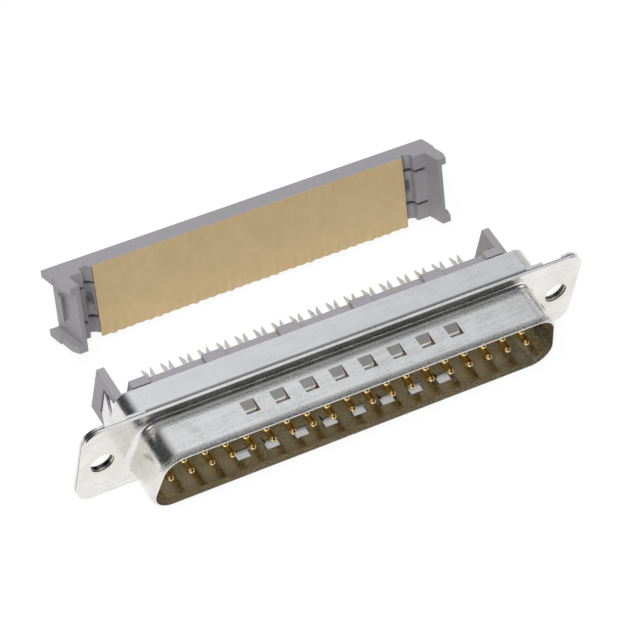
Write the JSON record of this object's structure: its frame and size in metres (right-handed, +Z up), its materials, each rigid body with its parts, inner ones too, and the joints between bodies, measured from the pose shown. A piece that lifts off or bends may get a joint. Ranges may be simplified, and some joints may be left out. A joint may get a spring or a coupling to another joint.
{
  "type": "d-sub connector",
  "caption": "Ribbon-cable plug with two rows of pins in a D-shaped metal shroud on a screw flange, and its press-on cable cover standing behind it.",
  "frame": {"origin": "centre of the front face of the flange, midway between its two screw holes", "axes": "+X along the flange, -Y the way the pins point, +Z up from the wide row of pins to the narrow row"},
  "size_m": [0.0694, 0.0336, 0.0126],
  "materials": {
    "shell_metal": "bright tin plate on drawn steel",
    "insulator_plastic": "satin moulded grey",
    "cover_plastic": "satin moulded grey",
    "contact_gold": "gold plate on the pins, tin plate on the forks",
    "adhesive": "clear tacky film",
    "liner_paper": "tan release paper"
  },
  "bodies": {
    "connector": {"front_shell": "shell_metal", "rear_shell": "shell_metal", "pin_insulator": "insulator_plastic", "cable_insulator": "insulator_plastic", "contact_01": "contact_gold", "contact_02": "contact_gold", "contact_03": "contact_gold", "contact_04": "contact_gold", "contact_05": "contact_gold", "contact_06": "contact_gold", "contact_07": "contact_gold", "contact_08": "contact_gold", "contact_09": "contact_gold", "contact_10": "contact_gold", "contact_11": "contact_gold", "contact_12": "contact_gold", "contact_13": "contact_gold", "contact_14": "contact_gold", "contact_15": "contact_gold", "contact_16": "contact_gold", "contact_17": "contact_gold", "contact_18": "contact_gold", "contact_19": "contact_gold", "contact_20": "contact_gold", "contact_21": "contact_gold", "contact_22": "contact_gold", "contact_23": "contact_gold", "contact_24": "contact_gold", "contact_25": "contact_gold", "contact_26": "contact_gold", "contact_27": "contact_gold", "contact_28": "contact_gold", "contact_29": "contact_gold", "contact_30": "contact_gold", "contact_31": "contact_gold", "contact_32": "contact_gold", "contact_33": "contact_gold", "contact_34": "contact_gold", "contact_35": "contact_gold", "contact_36": "contact_gold", "contact_37": "contact_gold"},
    "cover": {"cover": "cover_plastic", "adhesive_tape": "adhesive", "paper_liner": "liner_paper"}
  },
  "joints": [
    {"name": "cover_slide", "type": "slide", "parent": "connector", "child": "cover", "axis": [0, -1, 0], "range_m": [0, 0.007]}
  ]
}
